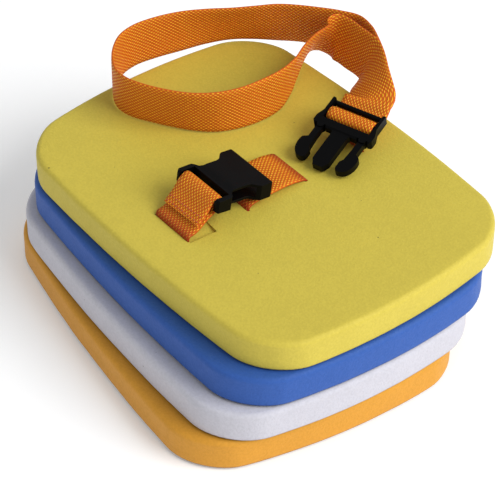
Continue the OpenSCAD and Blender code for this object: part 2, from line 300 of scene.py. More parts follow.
def node_group(name, inputs, outputs):
    """A shader node group with named number, vector and colour sockets."""
    kinds = {"f": "NodeSocketFloat", "v": "NodeSocketVector", "c": "NodeSocketColor"}
    tree = bpy.data.node_groups.new(name, "ShaderNodeTree")
    for label, kind, default in inputs:
        socket = tree.interface.new_socket(label, in_out="INPUT", socket_type=kinds[kind])
        if default is not None:
            socket.default_value = default
    for label, kind in outputs:
        tree.interface.new_socket(label, in_out="OUTPUT", socket_type=kinds[kind])
    return tree, tree.nodes.new("NodeGroupInput").outputs, tree.nodes.new("NodeGroupOutput").inputs


def feed(tree, socket, value):
    """Links a socket to a value, or sets it where the value is a plain number or colour."""
    if isinstance(value, bpy.types.NodeSocket):
        tree.links.new(value, socket)
    elif value is not None:
        socket.default_value = value


def sum_of(tree, operation, *values):
    """One Math node."""
    node = tree.nodes.new("ShaderNodeMath")
    node.operation = operation
    for socket, value in zip(node.inputs, values):
        feed(tree, socket, value)
    return node.outputs[0]


def between(tree, value, low, high, to_low=0.0, to_high=1.0):
    """A value eased from one range to another."""
    node = tree.nodes.new("ShaderNodeMapRange")
    node.interpolation_type = "SMOOTHSTEP"
    for socket, number in zip(node.inputs, (value, low, high, to_low, to_high)):
        feed(tree, socket, number)
    return node.outputs[0]


def colour_mix(tree, factor, a, b):
    """A mix of two colours."""
    node = tree.nodes.new("ShaderNodeMix")
    node.data_type = "RGBA"
    feed(tree, node.inputs["Factor"], factor)
    feed(tree, node.inputs[6], a)
    feed(tree, node.inputs[7], b)
    return node.outputs[2]


def cloud(tree, vector, scale, detail=2.0, roughness=0.5):
    """Noise from 0 to 1."""
    node = tree.nodes.new("ShaderNodeTexNoise")
    feed(tree, node.inputs["Vector"], vector)
    feed(tree, node.inputs["Scale"], scale)
    feed(tree, node.inputs["Detail"], detail)
    feed(tree, node.inputs["Roughness"], roughness)
    return node.outputs["Fac"]


def cells(tree, vector, scale):
    """Distance to the nearest cell of a Voronoi pattern."""
    node = tree.nodes.new("ShaderNodeTexVoronoi")
    feed(tree, node.inputs["Vector"], vector)
    feed(tree, node.inputs["Scale"], scale)
    return node.outputs["Distance"]


def foam_grain_group():
    """Closed-cell foam: fine cells, soft mottling, and a few open pores."""
    tree, given, made = node_group(
        "Foam grain",
        [("Vector", "v", None), ("Cell Scale", "f", 900.0), ("Pores", "f", 0.3)],
        [("Height", "f"), ("Mottle", "f"), ("Pore Mask", "f")],
    )
    cell = cells(tree, given["Vector"], given["Cell Scale"])
    fine_scale = sum_of(tree, "MULTIPLY", given["Cell Scale"], 0.8)
    fine = cloud(tree, given["Vector"], fine_scale, 3.0, 0.6)
    broad = cloud(tree, given["Vector"], 24.0, 3.0, 0.55)
    patch = cloud(tree, given["Vector"], 160.0, 2.0, 0.6)
    pit = cells(tree, given["Vector"], 105.0)
    where = cloud(tree, given["Vector"], 46.0, 1.0)
    rare = between(tree, where, sum_of(tree, "SUBTRACT", 0.62, given["Pores"]), 0.66)
    pore = sum_of(tree, "MULTIPLY", between(tree, pit, 0.07, 0.035), rare)
    grain = sum_of(tree, "ADD", sum_of(tree, "MULTIPLY", cell, 0.6), fine)
    soft = sum_of(tree, "MULTIPLY_ADD", patch, 0.8, grain)
    feed(tree, made["Height"], sum_of(tree, "SUBTRACT", soft, sum_of(tree, "MULTIPLY", pore, 2.5)))
    mottle = sum_of(tree, "MULTIPLY_ADD", broad, 0.2, sum_of(tree, "MULTIPLY", patch, 0.2))
    feed(tree, made["Mottle"], sum_of(tree, "MULTIPLY_ADD", fine, 0.6, mottle))
    feed(tree, made["Pore Mask"], pore)
    return tree


def weave_group():
    """Plain weave from the distance along the webbing and across it."""
    tree, given, made = node_group(
        "Webbing weave",
        [
            ("Across", "f", 0.0),
            ("Along", "f", 0.0),
            ("Yarn Width", "f", 0.00115),
            ("Float Length", "f", 0.0014),
        ],
        [("Height", "f"), ("Float Mask", "f"), ("Yarn Tone", "f")],
    )
    a = sum_of(tree, "DIVIDE", given["Across"], given["Yarn Width"])
    b = sum_of(tree, "DIVIDE", given["Along"], given["Float Length"])
    column = sum_of(tree, "FLOOR", a)
    row = sum_of(tree, "FLOOR", b)
    yarn = sum_of(tree, "ABSOLUTE", sum_of(tree, "SINE", sum_of(tree, "MULTIPLY", a, math.pi)))
    phase = sum_of(tree, "MULTIPLY", sum_of(tree, "ADD", b, column), math.pi)
    lift = sum_of(tree, "MULTIPLY_ADD", sum_of(tree, "COSINE", phase), 0.5, 0.5)
    warp = sum_of(tree, "MULTIPLY", sum_of(tree, "POWER", yarn, 0.7), lift)
    around = sum_of(tree, "MULTIPLY", b, math.pi)
    weft_round = sum_of(tree, "ABSOLUTE", sum_of(tree, "SINE", around))
    low = sum_of(tree, "SUBTRACT", 1.0, lift)
    weft = sum_of(tree, "MULTIPLY", sum_of(tree, "MULTIPLY", weft_round, low), 0.45)
    height = sum_of(tree, "MAXIMUM", warp, weft)
    feed(tree, made["Height"], height)
    feed(tree, made["Float Mask"], between(tree, height, 0.28, 0.85))
    pick = tree.nodes.new("ShaderNodeCombineXYZ")
    feed(tree, pick.inputs[0], column)
    feed(tree, pick.inputs[1], row)
    tone = tree.nodes.new("ShaderNodeTexWhiteNoise")
    feed(tree, tone.inputs["Vector"], pick.outputs[0])
    feed(tree, made["Yarn Tone"], tone.outputs["Value"])
    return tree


def wear_group():
    """Handling marks: cloudy dullness and a few fine scuffs."""
    tree, given, made = node_group(
        "Handling wear",
        [("Vector", "v", None), ("Scale", "f", 60.0), ("Amount", "f", 0.5)],
        [("Dullness", "f"), ("Scuffs", "f"), ("Height", "f")],
    )
    dull = cloud(tree, given["Vector"], given["Scale"], 4.0, 0.6)
    feed(tree, made["Dullness"], sum_of(tree, "MULTIPLY", dull, given["Amount"]))
    streak = tree.nodes.new("ShaderNodeMapping")
    streak.inputs["Scale"].default_value = (1.0, 7.0, 3.0)
    streak.inputs["Rotation"].default_value = (0.2, 0.1, 0.6)
    feed(tree, streak.inputs["Vector"], given["Vector"])
    line = cloud(tree, streak.outputs[0], sum_of(tree, "MULTIPLY", given["Scale"], 4.0), 3.0, 0.7)
    scuff = sum_of(tree, "MULTIPLY", between(tree, line, 0.66, 0.78), given["Amount"])
    feed(tree, made["Scuffs"], scuff)
    fine = cloud(tree, given["Vector"], sum_of(tree, "MULTIPLY", given["Scale"], 30.0), 2.0)
    feed(tree, made["Height"], sum_of(tree, "SUBTRACT", fine, scuff))
    return tree


def use_group(tree, group, **values):
    """Places a node group, with its inputs set or linked by name."""
    node = tree.nodes.new("ShaderNodeGroup")
    node.node_tree = group
    for label, value in values.items():
        feed(tree, node.inputs[label.replace("_", " ")], value)
    return node.outputs


def new_material(name):
    """A material with its node tree, its shader and the place it reads object coordinates from."""
    material = bpy.data.materials.new(name)
    material.use_nodes = True
    tree = material.node_tree
    shader = tree.nodes["Principled BSDF"]
    return material, tree, shader, tree.nodes.new("ShaderNodeTexCoord")


def bump(tree, shader, height, strength, distance):
    """Feeds the shader's normal from a height."""
    node = tree.nodes.new("ShaderNodeBump")
    node.inputs["Strength"].default_value = strength
    node.inputs["Distance"].default_value = distance
    feed(tree, node.inputs["Height"], height)
    feed(tree, shader.inputs["Normal"], node.outputs[0])


def shade(colour, by):
    """A colour made lighter or darker, with alpha."""
    return tuple(min(1.0, c * by) for c in colour) + (1.0,)


def foam_material(name, colour, group, pores):
    """Matt closed-cell foam, with painted shade on its lower rim just above its foot."""
    material, tree, shader, where = new_material(name)
    grain = use_group(
        tree, group, Vector=where.outputs["Object"], Cell_Scale=850.0, Pores=pores
    )
    light = between(tree, grain["Mottle"], 0.4, 0.6)
    base = colour_mix(tree, light, shade(colour, 0.96), shade(colour, 1.04))
    marked = colour_mix(tree, grain["Pore Mask"], base, shade(colour, 0.3))
    place = tree.nodes.new("ShaderNodeSeparateXYZ")
    feed(tree, place.inputs[0], where.outputs["Object"])
    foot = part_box(name.replace("foam_", "foam_board_"))[0].z
    # Painted shade: from 0.9 to 2.5 mm above the board's foot the foam is darkened towards 0.12 of
    # its colour, where the gap under the lower rim lies in shade.
    painted_rim_shade = between(tree, place.outputs[2], foot + 0.0009, foot + 0.0025, 0.8, 0.0)
    feed(
        tree, shader.inputs["Base Color"], colour_mix(tree, painted_rim_shade, marked, shade(colour, 0.12))
    )
    feed(tree, shader.inputs["Roughness"], between(tree, grain["Mottle"], 0.3, 0.7, 0.72, 0.60))
    shader.inputs["Specular IOR Level"].default_value = 0.35
    shader.inputs["Sheen Weight"].default_value = 0.05
    shader.inputs["Sheen Roughness"].default_value = 0.45
    bump(tree, shader, grain["Height"], 0.45, 0.0003)
    return material


def webbing_material(name, colour, gap, group):
    """Woven polypropylene webbing, with the weave laid along the piece's own UV map; painted shade
    darkens it between its raised yarns and where it dips into a slit.
    """
    material, tree, shader, where = new_material(name)
    parts = tree.nodes.new("ShaderNodeSeparateXYZ")
    feed(tree, parts.inputs[0], where.outputs["UV"])
    weave = use_group(tree, group, Across=parts.outputs[0], Along=parts.outputs[1])
    uneven = cloud(tree, where.outputs["Object"], 90.0, 3.0)
    yarn = colour_mix(tree, weave["Yarn Tone"], shade(colour, 0.86), shade(colour, 1.12))
    # Painted shade: the weave's low places between the raised yarns take the darker colour.
    cloth = colour_mix(tree, weave["Float Mask"], shade(gap, 1.0), yarn)
    aged = colour_mix(tree, between(tree, uneven, 0.3, 0.7, 0.0, 0.2), cloth, shade(gap, 1.2))
    # Painted shade: where the webbing dips into a slit it is darkened towards deep red.
    deep = tree.nodes.new("ShaderNodeAttribute")
    deep.attribute_name = "deep"
    shaded = sum_of(tree, "MULTIPLY", deep.outputs["Fac"], 0.8)
    feed(
        tree,
        shader.inputs["Base Color"],
        colour_mix(tree, shaded, aged, (0.30, 0.018, 0.002, 1.0)),
    )
    feed(tree, shader.inputs["Roughness"], between(tree, weave["Float Mask"], 0.0, 1.0, 0.75, 0.36))
    shader.inputs["Specular IOR Level"].default_value = 0.3
    bump(tree, shader, weave["Height"], 1.0, 0.0005)
    return material


def thread_material(name, colour):
    """Twisted polyester thread."""
    material, tree, shader, where = new_material(name)
    twist = tree.nodes.new("ShaderNodeTexWave")
    twist.bands_direction = "DIAGONAL"
    feed(tree, twist.inputs["Vector"], where.outputs["Object"])
    twist.inputs["Scale"].default_value = 700.0
    base = colour_mix(tree, twist.outputs["Fac"], shade(colour, 0.6), shade(colour, 1.25))
    feed(tree, shader.inputs["Base Color"], base)
    shader.inputs["Roughness"].default_value = 0.5
    shader.inputs["Sheen Weight"].default_value = 0.2
    bump(tree, shader, twist.outputs["Fac"], 0.6, 0.0001)
    return material


def plastic_material(name, colour, group):
    """Moulded semi-gloss acetal with light handling marks."""
    material, tree, shader, where = new_material(name)
    wear = use_group(tree, group, Vector=where.outputs["Object"], Scale=70.0, Amount=0.5)
    base = colour_mix(tree, wear["Scuffs"], shade(colour, 1.0), shade(colour, 4.0))
    feed(tree, shader.inputs["Base Color"], base)
    feed(tree, shader.inputs["Roughness"], between(tree, wear["Dullness"], 0.1, 0.4, 0.3, 0.45))
    shader.inputs["Specular IOR Level"].default_value = 0.06
    bump(tree, shader, wear["Height"], 0.12, 0.00012)
    return material


def material(name):
    """The finish of a material slot, made the first time that it is asked for."""
    label = f"{name} finish"
    if label not in bpy.data.materials:
        finish(name).name = label
    return bpy.data.materials[label]


def finish(name):
    """Makes the finish of a material slot."""
    colours = bpy.context.scene.float_finishes
    groups = bpy.data.node_groups
    for label, build in (
        ("Foam grain", foam_grain_group),
        ("Webbing weave", weave_group),
        ("Handling wear", wear_group),
    ):
        if label not in groups:
            build()
    pores = {"yellow": 0.04, "blue": 0.06, "white": 0.13, "orange": 0.06}
    if name.startswith("foam_"):
        tone = name.removeprefix("foam_")
        return foam_material(name, getattr(colours, tone), groups["Foam grain"], pores[tone])
    if name == "webbing":
        return webbing_material(name, colours.webbing, colours.webbing_gap_shade, groups["Webbing weave"])
    if name == "thread":
        return thread_material(name, colours.thread)
    if name == "buckle_black":
        return plastic_material(name, colours.buckle, groups["Handling wear"])
    raise ValueError(f"there is no finish named {name}")


# ---------------------------------------------------------------- shared modelling steps


def finish_piece(bm, name, slot, sharp=SHARP_ANGLE):
    """Turns a bmesh into a smooth-shaded piece at the origin, with its finish."""
    bmesh.ops.recalc_face_normals(bm, faces=bm.faces[:])
    mesh = bpy.data.meshes.new(name)
    bm.to_mesh(mesh)
    bm.free()
    mesh.shade_smooth()
    mesh.set_sharp_from_angle(angle=sharp)
    mesh.materials.append(material(slot))
    piece = bpy.data.objects.new(name, mesh)
    bpy.context.scene.collection.objects.link(piece)
    return piece


def everything(bm):
    """All of a mesh's points, edges and faces."""
    return bm.verts[:] + bm.edges[:] + bm.faces[:]


def cut_plane(bm, place, normal):
    """Adds the edges where a plane crosses the mesh."""
    bmesh.ops.bisect_plane(
        bm, geom=everything(bm), dist=1e-6, plane_co=place, plane_no=normal
    )


def cutting_tool(bm, name):
    """Turns a bmesh into a solid to cut with."""
    bmesh.ops.recalc_face_normals(bm, faces=bm.faces[:])
    mesh = bpy.data.meshes.new(name)
    bm.to_mesh(mesh)
    bm.free()
    tool = bpy.data.objects.new(name, mesh)
    bpy.context.scene.collection.objects.link(tool)
    return tool


def cut_away(piece, tools):
    """Cuts the tools' shapes out of a piece, and removes the tools."""
    for tool in tools:
        cut = piece.modifiers.new("cut", "BOOLEAN")
        cut.operation = "DIFFERENCE"
        cut.solver = "EXACT"
        cut.object = tool
        bpy.context.view_layer.update()
        shaped = piece.evaluated_get(bpy.context.evaluated_depsgraph_get())
        mesh = bpy.data.meshes.new_from_object(shaped)
        piece.modifiers.clear()
        old, piece.data = piece.data, mesh
        name = old.name
        bpy.data.meshes.remove(old)
        mesh.name = name
        gone = tool.data
        bpy.data.objects.remove(tool)
        bpy.data.meshes.remove(gone)
    piece.data.set_sharp_from_angle(angle=SHARP_ANGLE)


# ---------------------------------------------------------------- the belt's route


def stop(x, y, z, wx=1.0, wy=0.0, wz=0.0):
    """A place on the middle of the webbing and the direction across it."""
    return Vector((x, y, z)), Vector((wx, wy, wz)).normalized()


def board_turns():
    """Turn of each board, from the top one down."""
    sizes = bpy.context.scene.float_boards
    return [0.0, sizes.blue_turn, sizes.white_turn, sizes.orange_turn]


BOARD_NODES = ["foam_board_yellow", "foam_board_blue", "foam_board_white", "foam_board_orange"]
SLIT_MIDDLE = Vector((0.0015, -0.0015))


def board_middle(layer):
    """Middle of a board, counted from the top one down."""
    low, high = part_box(BOARD_NODES[layer])
    return (low + high) / 2


def slit_place(layer, k):
    """Middle of a slit: layer 0 is the top board, slits are numbered 0 to 3 across it."""
    pitch = bpy.context.scene.float_belt.slit_pitch
    turn = Matrix.Rotation(board_turns()[layer], 2)
    middle = board_middle(layer)
    return turn @ (SLIT_MIDDLE + Vector((0, (k - 1.5) * pitch))) + Vector((middle.x, middle.y))


def slit_stop(layer, k, z):
    """A stop in a slit, at height z."""
    place, turn = slit_place(layer, k), board_turns()[layer]
    return stop(place.x, place.y, z, math.cos(turn), math.sin(turn))


TURN_RADIUS = 0.0026


def column_stops(k):
    """Down through the four boards at one slit."""
    stops = [slit_stop(0, k, TOP_HIGH.z)]
    stops += [slit_stop(i, k, board_middle(i).z) for i in range(4)]
    return stops + [slit_stop(3, k, lying_height() + TURN_RADIUS)]


def lying_height():
    """Height of the middle of the webbing under the bottom board."""
    belt = bpy.context.scene.float_belt
    return belt.thickness / 2 + belt.slit_room - 0.0001


def under_stops(k):
    """Under the bottom board from slit k to the next."""
    place, after = slit_place(3, k), slit_place(3, k + 1)
    way, turn = (after - place).normalized(), board_turns()[3]
    stops = []
    for at, way, angles in ((place, way, (30, 60, 90)), (after, -way, (90, 60, 30))):
        bend = []
        for angle in angles:
            a = math.radians(angle)
            p = at + way * TURN_RADIUS * (1 - math.cos(a))
            z = lying_height() + TURN_RADIUS * (1 - math.sin(a))
            bend.append(stop(p.x, p.y, z, math.cos(turn), math.sin(turn)))
        flat = []
        for beyond in (0.001, 0.004):
            p = at + way * (TURN_RADIUS + beyond)
            flat.append(stop(p.x, p.y, lying_height(), math.cos(turn), math.sin(turn)))
        stops += bend + flat if angles[0] == 30 else flat[::-1] + bend
    return stops


def bridge_stops():
    """Over the top board from the second slit to the third."""
    start, pitch = slit_place(0, 1), bpy.context.scene.float_belt.slit_pitch
    shape = [
        (0.015, 1.2), (0.06, 2.6), (0.2, 3.5), (0.45, 3.8),
        (0.68, 3.5), (0.82, 2.7), (0.92, 1.6), (0.985, 0.6),
    ]
    return [stop(start.x, start.y + t * pitch, TOP_HIGH.z + z * MM) for t, z in shape]


def threaded_stops():
    """Down and up through all the slits."""
    stops = column_stops(0) + under_stops(0) + column_stops(1)[::-1] + bridge_stops()
    return stops + column_stops(2) + under_stops(2) + column_stops(3)[::-1]


def sewn_stops():
    """Up from the first slit, round the socket's bar and back down on itself."""
    bar = Vector(JOINTS["socket_tilt"]["pos_m"])
    slit = slit_place(0, 0)
    x, foot = slit.x, Vector((slit.y, TOP_HIGH.z))
    up = (Vector((bar.y, bar.z)) - foot).normalized()
    out = Vector((-up.y, up.x))
    bar_radius, room, half_webbing = 0.0022, 0.00035, 0.00075
    wrap = bar_radius + room + half_webbing

    def leg(along, outwards, x=x):
        """A stop on the way from the slit up to the bar."""
        p = foot + up * along + out * outwards
        return stop(x, p.x, p.y)

    stops = [
        stop(x, foot.x, foot.y),
        stop(x, foot.x, foot.y + 0.0012),
        stop(x, foot.x + 0.0009, foot.y + 0.0024),
        leg(0.005, 0),
        leg(0.016, -0.0014, x - 0.0005),
    ]
    for step in range(9):
        a = math.radians(22.5 * step)
        p = Vector((bar.y, bar.z)) + wrap * (up * math.sin(a) - out * math.cos(a))
        stops.append(stop(bar.x, p.x, p.y))
    return stops + [leg(0.017, 0.002, x - 0.0005), leg(0.009, 0.0016, x - 0.0002)], up, out


# Places of the free loop in millimetres from the middle of the top board, and the direction
# across the webbing there: flat beside the last slit, on its edge round the loop, then flat again.
LOOP_STOPS = [
    (1.5, 61.5, 0, 1, 0, 0), (1.5, 61.5, 1.6, 1, 0, 0), (1, 63.6, 3.8, 1, 0, 0),
    (-1, 71, 4.8, 1, 0.05, 0), (-4.2, 79, 5.4, 1, 0.15, 0.08), (-8, 87, 7.2, 0.92, 0.3, 0.3),
    (-15, 94, 10, 0.75, 0.35, 0.55), (-24.5, 103, 13.9, 0.45, 0.3, 0.84),
    (-35, 111, 15.9, 0.2, 0.15, 0.97), (-44, 116.5, 16, 0.05, 0.05, 1),
    (-54, 118.3, 16, 0, 0, 1), (-65, 113.5, 16, 0, -0.05, 1), (-76, 106, 16, 0, -0.1, 1),
    (-86, 98.5, 16, 0.05, -0.13, 1), (-96.5, 87.5, 16, 0.19, 0, 1), (-104, 77.5, 16, 0.29, 0, 1),
    (-111, 67, 16, 0.33, 0, 1), (-119, 52, 16, 0.2, 0, 1), (-124.5, 37.5, 16, 0.05, 0, 1),
    (-129, 21, 16, 0, 0, 1), (-130.5, 7, 16, 0, 0, 1), (-128, -4, 16, 0, 0, 1),
    (-121, -14, 16, 0, 0, 1), (-111.5, -22, 16, 0, 0, 1), (-101, -26, 16, 0, -0.05, 1),
    (-91, -25, 16, 0, -0.1, 1), (-81, -20.5, 16, 0.02, -0.14, 1), (-70, -14, 16, 0.04, -0.14, 1),
    (-57.5, -4.5, 16, 0.06, -0.1, 1), (-48.3, 7, 16, 0.05, -0.03, 1),
    (-43.6, 19, 16, 0.03, 0, 1), (-41.6, 34, 16, 0, 0, 1), (-42.5, 48, 16, 0.04, 0, 1),
    (-47.8, 61.5, 16, 0.16, 0, 1), (-55, 73, 16, 0.24, 0, 0.97), (-61.5, 84, 16, 0.37, 0, 0.93),
    (-65.8, 93.5, 16, 0.46, 0.08, 0.88), (-67.3, 101, 16, 0.42, 0.25, 0.87),
    (-64, 106, 16, 0.25, 0.32, 0.91), (-57, 108, 16, 0.16, 0.3, 0.94),
    (-48, 108, 16, 0.1, 0.28, 0.95), (-38, 107.8, 16.3, 0.12, 0.26, 0.96),
    (-30.5, 105.9, 17, 0.26, 0.27, 0.93), (-25.5, 102, 17.3, 0.4, 0.32, 0.86),
    (-15.5, 93, 16.8, 0.66, 0.39, 0.63), (-6, 85.8, 15.8, 0.84, 0.4, 0.35),
    (-3.2, 83.3, 15.6, 0.92, 0.37, 0.15),
]

# The plug's own line: its outer bar is at the start, and y runs outwards from the prongs.
PLUG_TILT = math.radians(14)
PLUG_TURN = math.radians(18)
PLUG_PLACE = TOP_MIDDLE + Vector((0.001, 0.071, 0.015))
PLUG_FRAME = (
    Matrix.Translation(PLUG_PLACE)
    @ Matrix.Rotation(PLUG_TURN, 4, "Z")
    @ Matrix.Rotation(PLUG_TILT, 4, "X")
)
# Where the webbing leaves the loop and meets the plug, outwards along the plug's line
SEAM_START = 0.013
SEAM_END = 0.001
# Enough of the last sections to hold the whole stretch near the plug
LAST_RINGS = 60
WRAP_STOPS = [
    (8.5, -1.7), (5.9, -2.7), (4.0, -2.9), (2.4, -2.9), (1.0, -2.9), (-1.6, -2.3), (-3.6, 0),
    (-5, 2.2), (-6.6, 2.9), (-9, 2.9), (-10.6, 2.2), (-11.7, 0.2), (-11.9, -2), (-11, -3.8),
    (-9.4, -4.8), (-4, -4.8), (2.4, -4.8),
]


def loop_stops():
    """The free loop and its end wrapped round the plug's ladder."""
    stops = [
        stop(*(TOP_MIDDLE + Vector((x, y, z)) * MM), wx, wy, wz)
        for x, y, z, wx, wy, wz in LOOP_STOPS
    ]
    for y, z in WRAP_STOPS:
        place = PLUG_FRAME @ Vector((0, y * MM, z * MM))
        stops.append(stop(*place, math.cos(PLUG_TURN), math.sin(PLUG_TURN)))
    return stops


def eased(values, gaps, i, t):
    """A point on the smooth curve through values, a share t of the way from i to i + 1."""

    def slope(k):
        """Slope of the curve at a value, from the gaps on both sides."""
        before = (values[k] - values[k - 1]) / gaps[k - 1] if k else None
        after = (values[k + 1] - values[k]) / gaps[k] if k < len(gaps) else None
        if before is None or after is None:
            return before if after is None else after
        return (before * gaps[k] + after * gaps[k - 1]) / (gaps[k] + gaps[k - 1])

    a, b, gap = values[i], values[i + 1], gaps[i]
    return (
        a * (2 * t**3 - 3 * t**2 + 1)
        + slope(i) * gap * (t**3 - 2 * t**2 + t)
        + b * (3 * t**2 - 2 * t**3)
        + slope(i + 1) * gap * (t**3 - t**2)
    )


def webbing_rings(stops, step):
    """Sections along the webbing: distance from the start, and frame of across, out and along."""
    places, widths = [s[0] for s in stops], [s[1] for s in stops]
    gaps = [(b - a).length for a, b in zip(places, places[1:])]
    line = []
    for i, gap in enumerate(gaps):
        count = max(1, round(gap / step))
        line += [
            (eased(places, gaps, i, k / count), eased(widths, gaps, i, k / count))
            for k in range(count)
        ]
    line.append((places[-1], widths[-1]))
    rings, distance = [], 0.0
    for i, (place, across) in enumerate(line):
        before, after = line[max(i - 1, 0)][0], line[min(i + 1, len(line) - 1)][0]
        along = (after - before).normalized()
        out = along.cross(across).normalized()
        across = out.cross(along)
        distance += (place - before).length
        frame_at = Matrix((across, out, along)).transposed().to_4x4()
        rings.append((distance, Matrix.Translation(place) @ frame_at))
    return rings


def shade_by_slits(bm):
    """Marks how deep each point of the webbing lies in the shade of a slit, from 0 to 1."""
    deep = bm.verts.layers.float.new("deep")
    slits = [slit_place(0, k) for k in range(4)]
    for v in bm.verts:
        for slit in slits:
            if abs(v.co.x - slit.x) < 0.02:
                far = math.hypot(v.co.y - slit.y, v.co.z - TOP_HIGH.z)
                v[deep] = max(v[deep], min(1.0, 1.25 - far / 0.006))


def sweep_webbing(bm, rings, width, thickness, columns):
    """Extrudes the webbing's section from ring to ring, with the distances kept for the weave."""
    across = bm.verts.layers.float.new("across")
    along = bm.verts.layers.float.new("along")
    bmesh.ops.create_grid(bm, x_segments=columns, y_segments=2, size=0.5)
    bmesh.ops.scale(bm, vec=(width, thickness, 1.0), verts=bm.verts[:])
    for v in bm.verts:
        if abs(v.co.x) > width * 0.499 and abs(v.co.y) > thickness * 0.4:
            v.co.x *= 1 - 0.35 * thickness / width
            v.co.y *= 0.72
        v[across] = v.co.x
        v[along] = rings[0][0]
    bmesh.ops.transform(bm, matrix=rings[0][1], verts=bm.verts[:])
    cap, start = bm.faces[:], True
    for (_, last), (distance, here) in zip(rings, rings[1:]):
        grown = bmesh.ops.extrude_face_region(bm, geom=cap)["geom"]
        if not start:
            bmesh.ops.delete(bm, geom=cap, context="FACES")
        start = False
        verts = [g for g in grown if isinstance(g, bmesh.types.BMVert)]
        cap = [g for g in grown if isinstance(g, bmesh.types.BMFace)]
        bmesh.ops.transform(bm, matrix=here @ last.inverted(), verts=verts)
        for v in verts:
            v[along] = distance
    shade_by_slits(bm)
    uv = bm.loops.layers.uv.new("weave")
    for face in bm.faces:
        for loop in face.loops:
            loop[uv].uv = (loop.vert[across], loop.vert[along])


def webbing_piece(name, rings, node):
    """One stretch of webbing, hiding the CAD parts that it replaces."""
    belt = bpy.context.scene.float_belt
    bm = bmesh.new()
    sweep_webbing(bm, rings, belt.width, belt.thickness, 10)
    piece = finish_piece(bm, name, "webbing", math.radians(60))
    if node:
        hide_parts(*node)
    return piece


# ---------------------------------------------------------------- operators


